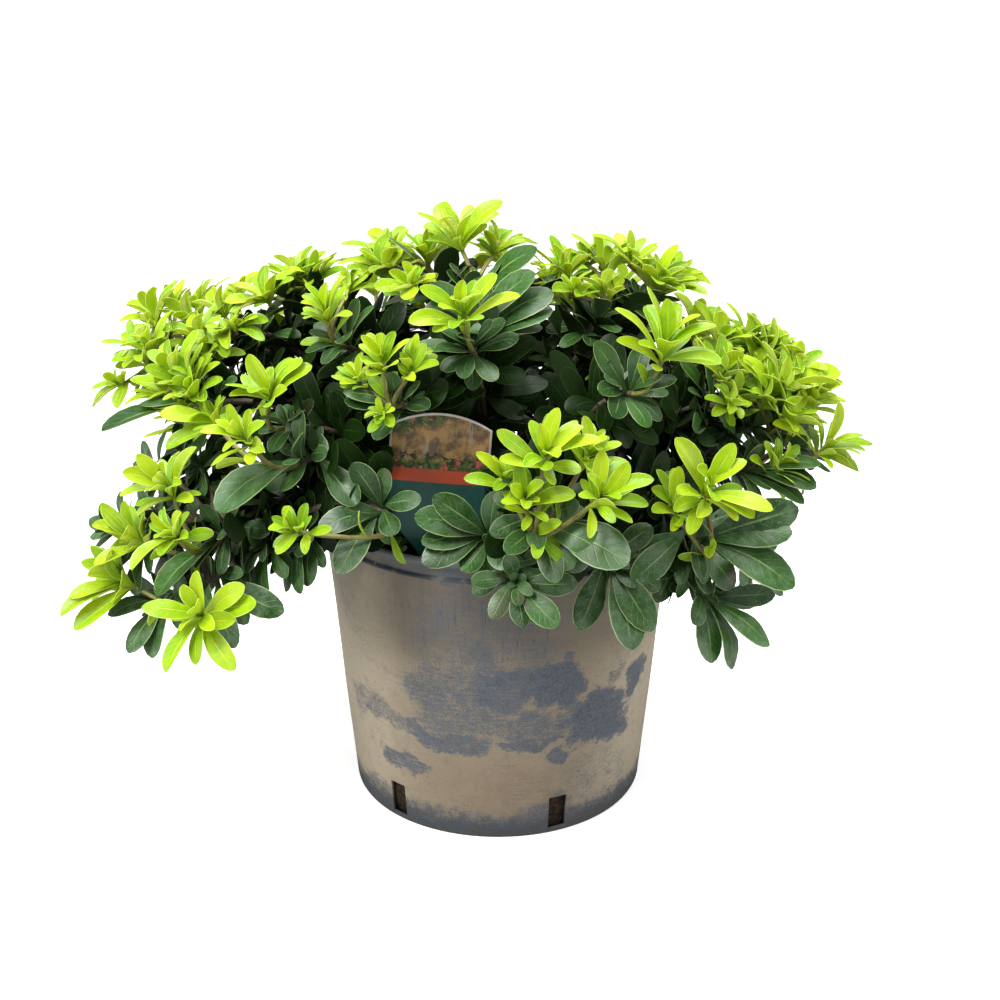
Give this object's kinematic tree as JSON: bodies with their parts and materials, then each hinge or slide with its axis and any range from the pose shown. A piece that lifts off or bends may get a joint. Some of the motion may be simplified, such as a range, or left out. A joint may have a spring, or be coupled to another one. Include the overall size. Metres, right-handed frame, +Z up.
{
  "type": "potted pittosporum",
  "caption": "Dwarf pittosporum shrub in a round plastic nursery pot, with whorls of dark leaves, fresh lime growth, a plant label and a clover seedling.",
  "frame": {"origin": "centre of the pot's flat underside, on the surface that it stands on", "axes": "+Z up along the pot's axis, -Y towards the viewer of the picture, +X to the viewer's right"},
  "size_m": [0.6037, 0.4894, 0.4852],
  "materials": {
    "pot_plastic": "matte",
    "compost": "matte",
    "label_card": "satin",
    "bark": "matte",
    "old_leaf": "satin",
    "young_leaf": "satin",
    "clover_leaf": "satin"
  },
  "bodies": {
    "root": {"branch_back_left_high": "old_leaf", "branch_back_low_left": "old_leaf", "branch_back_right_high": "old_leaf", "branch_back_top": "old_leaf", "branch_crown": "old_leaf", "branch_front_left": "old_leaf", "branch_front_left_high": "old_leaf", "branch_front_right": "old_leaf", "branch_front_top": "old_leaf", "branch_left_bottom": "old_leaf", "branch_left_edge": "old_leaf", "branch_left_high": "old_leaf", "branch_left_low": "old_leaf", "branch_left_top": "old_leaf", "branch_right_edge": "old_leaf", "branch_right_front_high": "old_leaf", "branch_right_low": "old_leaf", "branch_right_mid": "old_leaf", "branch_right_rear": "old_leaf", "branch_rim_front": "old_leaf", "branch_rim_left": "old_leaf", "clover": "clover_leaf", "growth_back_left": "young_leaf", "growth_back_left_high": "young_leaf", "growth_back_low_left": "young_leaf", "growth_back_low_right": "young_leaf", "growth_back_mid": "young_leaf", "growth_back_right": "young_leaf", "growth_back_right_high": "young_leaf", "growth_back_top": "young_leaf", "growth_crown": "young_leaf", "growth_crown_left": "young_leaf", "growth_front_left": "young_leaf", "growth_front_left_high": "young_leaf", "growth_front_left_mid": "young_leaf", "growth_front_right": "young_leaf", "growth_front_top": "young_leaf", "growth_left_bottom": "young_leaf", "growth_left_edge": "young_leaf", "growth_left_far": "young_leaf", "growth_left_high": "young_leaf", "growth_left_low": "young_leaf", "growth_left_mid": "young_leaf", "growth_left_rear": "young_leaf", "growth_left_side": "young_leaf", "growth_left_top": "young_leaf", "growth_right_edge": "young_leaf", "growth_right_front_high": "young_leaf", "growth_right_high": "young_leaf", "growth_right_low": "young_leaf", "growth_right_mid": "young_leaf", "growth_right_rear": "young_leaf", "growth_right_side": "young_leaf", "growth_right_top": "young_leaf", "growth_rim_left": "young_leaf", "label": "label_card", "pot": "pot_plastic", "soil": "compost", "trunk": "bark"}
  },
  "joints": []
}
